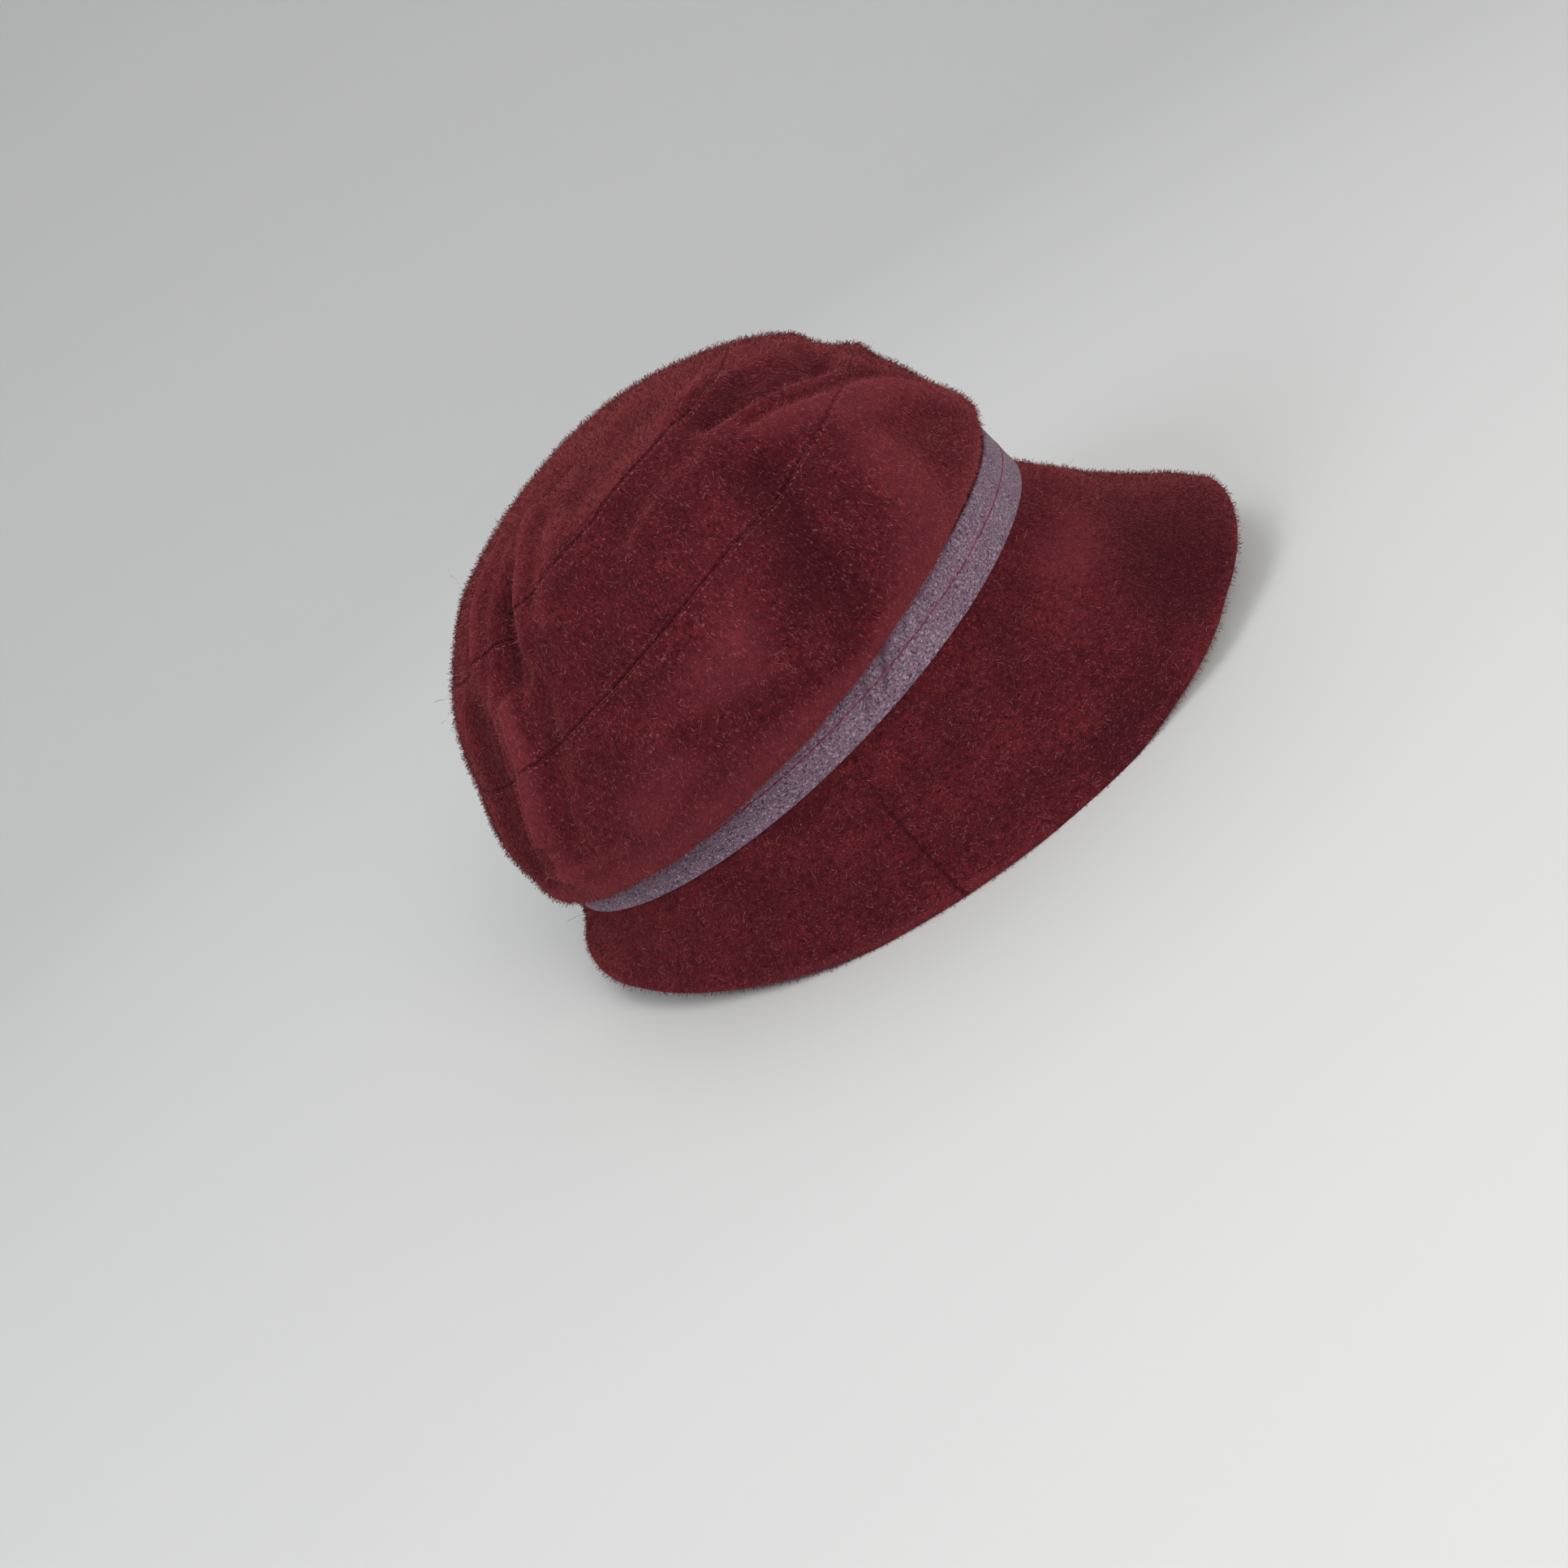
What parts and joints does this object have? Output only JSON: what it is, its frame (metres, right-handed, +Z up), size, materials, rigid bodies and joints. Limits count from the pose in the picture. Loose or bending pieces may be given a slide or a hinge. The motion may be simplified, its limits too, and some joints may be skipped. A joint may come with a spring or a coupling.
{
  "type": "cloche hat",
  "caption": "Soft slouch cloche hat of wool cloth: a full pieced crown rolling over a plain band, and a brim wide in front and narrow behind.",
  "frame": {"origin": "middle of the hat's outline from above, on the surface that the brim's edge rests on", "axes": "+Z up; the hat faces -Y, so the wide part of the brim points to -Y; the wearer's right side is -X"},
  "size_m": [0.2386, 0.2734, 0.1561],
  "materials": {
    "wool": "burgundy wool melton, brushed and fuzzy, no shine",
    "band_cloth": "grey mauve heathered wool cloth, dull"
  },
  "bodies": {
    "root": {"crown_tip": "wool", "crown_upper": "wool", "crown_side": "wool", "band": "band_cloth", "brim_front": "wool", "brim_back": "wool"}
  },
  "joints": []
}
